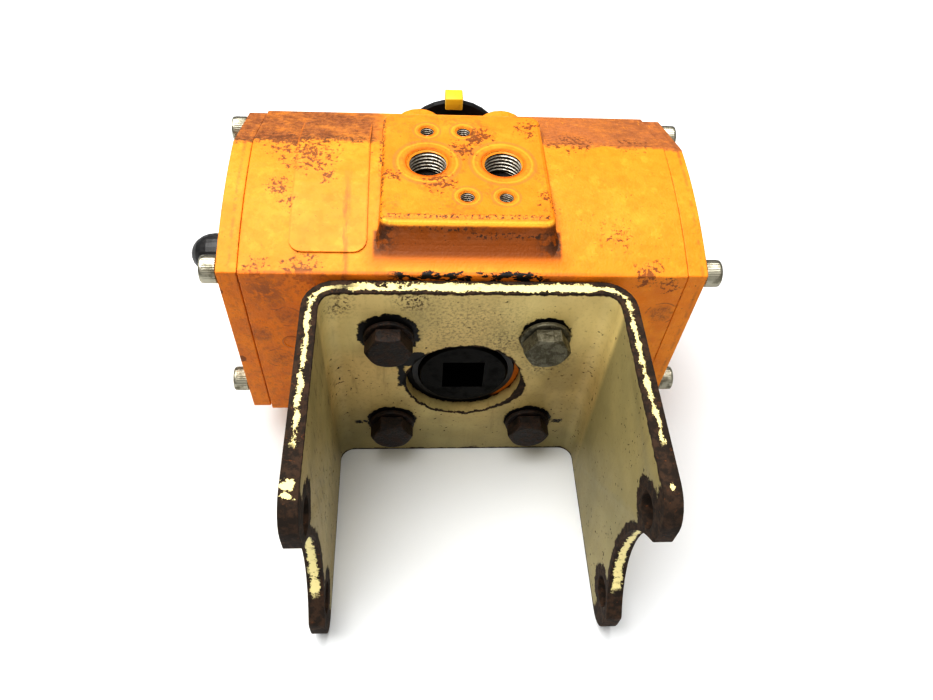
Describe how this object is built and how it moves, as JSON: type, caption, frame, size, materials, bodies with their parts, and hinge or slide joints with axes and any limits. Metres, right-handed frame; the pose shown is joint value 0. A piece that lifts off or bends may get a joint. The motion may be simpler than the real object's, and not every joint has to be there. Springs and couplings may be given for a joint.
{
  "type": "rotary pneumatic actuator",
  "caption": "Quarter-turn rack-and-pinion pneumatic actuator with end caps, air-connection pad, position indicator and a U-shaped valve bracket.",
  "frame": {"origin": "bottom centre of the bounding box, on the surface that the bracket and the lower bosses rest on", "axes": "+Y along the shaft, away from the valve; +Z out of the air-connection pad; X along the cylinder, with the travel stop at -X"},
  "size_m": [0.1728, 0.2046, 0.1022],
  "materials": {
    "cast_orange_paint": "worn satin paint on cast aluminium, grimy and chipped along the edges",
    "bracket_cream_paint": "old cream paint on steel plate, chipped and rusted along the edges",
    "satin_steel": "satin",
    "turned_steel": "turned and oiled",
    "spring_steel": "phosphated",
    "rusty_steel": "rusted",
    "zinc_steel": "dull zinc",
    "piston_aluminium": "machined",
    "seal_rubber": "matt",
    "bearing_plastic": "moulded",
    "black_plastic": "moulded",
    "yellow_plastic": "moulded",
    "label_film": "clear film, yellowed"
  },
  "bodies": {
    "housing": {"housing": "cast_orange_paint", "end_cap_left": "cast_orange_paint", "end_cap_right": "cast_orange_paint", "cap_seal_left": "seal_rubber", "cap_seal_right": "seal_rubber", "cap_screw_left_1": "satin_steel", "cap_screw_left_2": "satin_steel", "cap_screw_left_3": "satin_steel", "cap_screw_left_4": "satin_steel", "cap_screw_right_1": "satin_steel", "cap_screw_right_2": "satin_steel", "cap_screw_right_3": "satin_steel", "cap_screw_right_4": "satin_steel", "lower_shaft_bush": "bearing_plastic", "upper_shaft_bush": "bearing_plastic", "lower_shaft_seal": "seal_rubber", "upper_shaft_seal": "seal_rubber", "thrust_washer": "bearing_plastic", "stop_lock_nut": "satin_steel", "stop_screw_cap": "black_plastic", "mounting_bracket": "bracket_cream_paint", "flange_bolt_1": "rusty_steel", "flange_bolt_2": "zinc_steel", "flange_bolt_3": "rusty_steel", "flange_bolt_4": "rusty_steel", "flange_washer_1": "rusty_steel", "flange_washer_2": "zinc_steel", "flange_washer_3": "rusty_steel", "flange_washer_4": "rusty_steel", "instruction_label": "label_film"},
    "carriage": {"rack_bar": "turned_steel", "rack_guide_pad": "bearing_plastic", "piston_left": "piston_aluminium", "piston_right": "piston_aluminium", "piston_seal_left": "seal_rubber", "piston_seal_right": "seal_rubber", "guide_band_left": "bearing_plastic", "guide_band_right": "bearing_plastic", "piston_bolt_left": "satin_steel", "piston_bolt_right": "satin_steel"},
    "shaft": {"pinion_shaft": "turned_steel", "retaining_ring": "spring_steel", "indicator_hub": "black_plastic", "indicator_pointer": "yellow_plastic", "indicator_screw": "satin_steel"},
    "stop_adjuster": {"stop_screw": "satin_steel"}
  },
  "joints": [
    {"name": "rack_slide", "type": "slide", "parent": "housing", "child": "carriage", "axis": [1, 0, 0], "range_m": [0, 0.02356]},
    {"name": "pinion_turn", "type": "hinge", "parent": "housing", "child": "shaft", "pos_m": [0.0085, -0.0253, 0.045], "axis": [0, 1, 0], "range_deg": [0, 90]},
    {"name": "stop_adjust", "type": "slide", "parent": "housing", "child": "stop_adjuster", "axis": [-1, 0, 0], "range_m": [0, 0.003]}
  ],
  "couplings": [
    {"joint": "pinion_turn", "follows": "rack_slide", "rad_per_m": 66.667}
  ]
}
